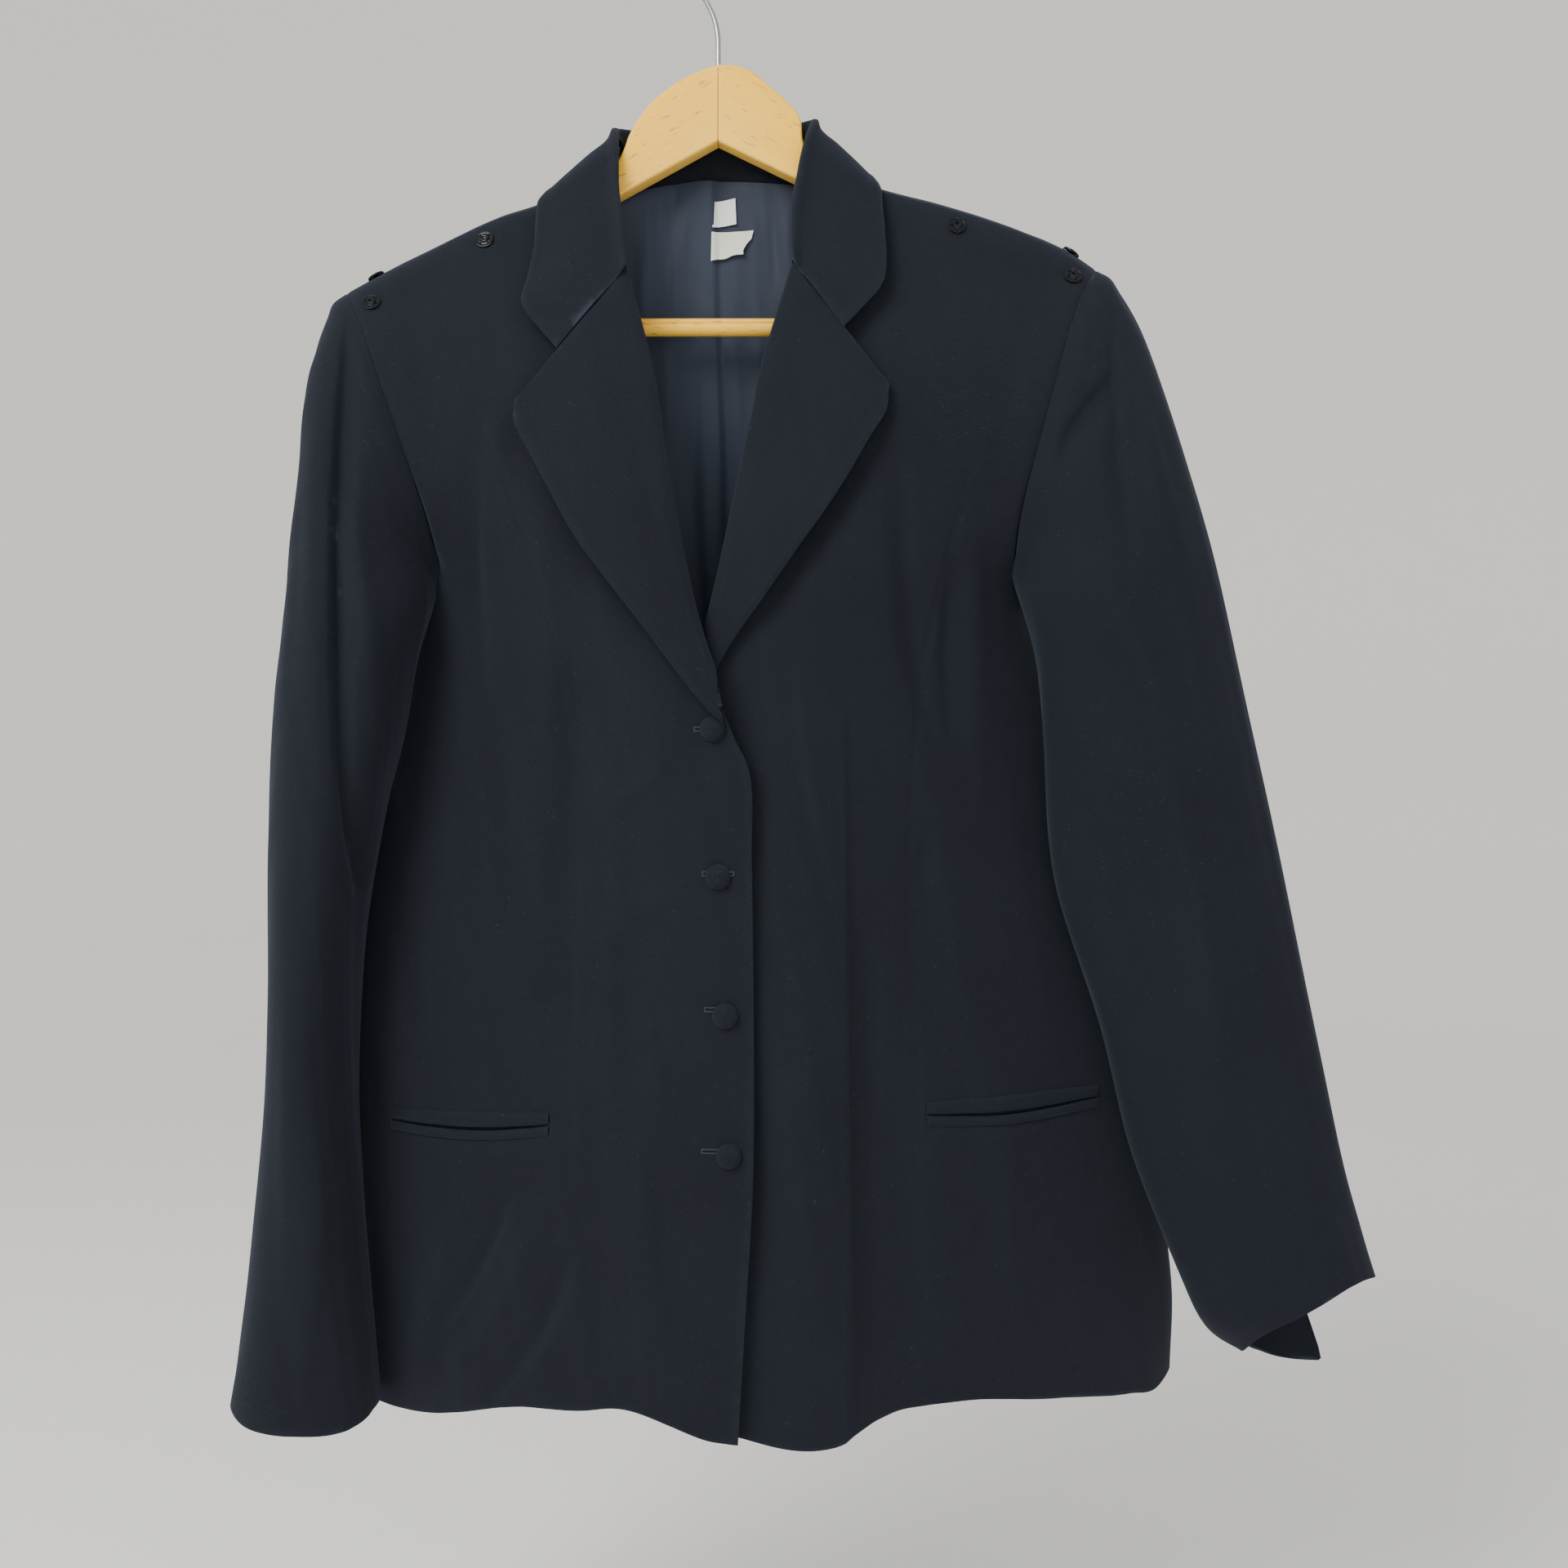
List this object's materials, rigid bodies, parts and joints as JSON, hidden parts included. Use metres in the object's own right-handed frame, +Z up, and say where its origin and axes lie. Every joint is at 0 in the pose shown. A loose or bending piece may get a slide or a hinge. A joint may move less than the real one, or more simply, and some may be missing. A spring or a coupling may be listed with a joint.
{
  "type": "uniform jacket on a wooden coat hanger",
  "caption": "Single-breasted uniform jacket with notched lapels, jetted pockets and shoulder press studs, hanging open-necked on a flat wooden coat hanger with a trouser bar and a steel hook.",
  "frame": {"origin": "inside the top of the hook's crook, where a rail holds the hanger", "axes": "+Z up, along the hanging jacket; the front faces -Y; +X is towards the wearer's left sleeve"},
  "size_m": [0.6245, 0.1101, 0.8226],
  "materials": {
    "navy_cloth": "matt navy wool-blend twill",
    "slate_lining": "slate-blue satin lining",
    "white_tape": "woven white tape",
    "black_metal": "black coated press studs",
    "honey_wood": "clear-lacquered pale wood",
    "steel_wire": "plated steel wire"
  },
  "bodies": {
    "root": {"front_right": "navy_cloth", "front_left": "navy_cloth", "back": "navy_cloth", "sleeve_right": "navy_cloth", "sleeve_left": "navy_cloth", "lapel_right": "navy_cloth", "lapel_left": "navy_cloth", "collar": "navy_cloth", "pocket_right_upper_jet": "navy_cloth", "pocket_right_lower_jet": "navy_cloth", "pocket_left_upper_jet": "navy_cloth", "pocket_left_lower_jet": "navy_cloth", "button_1": "navy_cloth", "button_2": "navy_cloth", "button_3": "navy_cloth", "button_4": "navy_cloth", "back_lining": "slate_lining", "label_upper": "white_tape", "label_lower": "white_tape", "press_stud_right_inner": "black_metal", "press_stud_right_outer": "black_metal", "press_stud_right_top": "black_metal", "press_stud_left_inner": "black_metal", "press_stud_left_outer": "black_metal", "press_stud_left_top": "black_metal", "hanger_arm_right": "honey_wood", "hanger_arm_left": "honey_wood", "trouser_bar": "honey_wood", "hook": "steel_wire"}
  },
  "joints": []
}
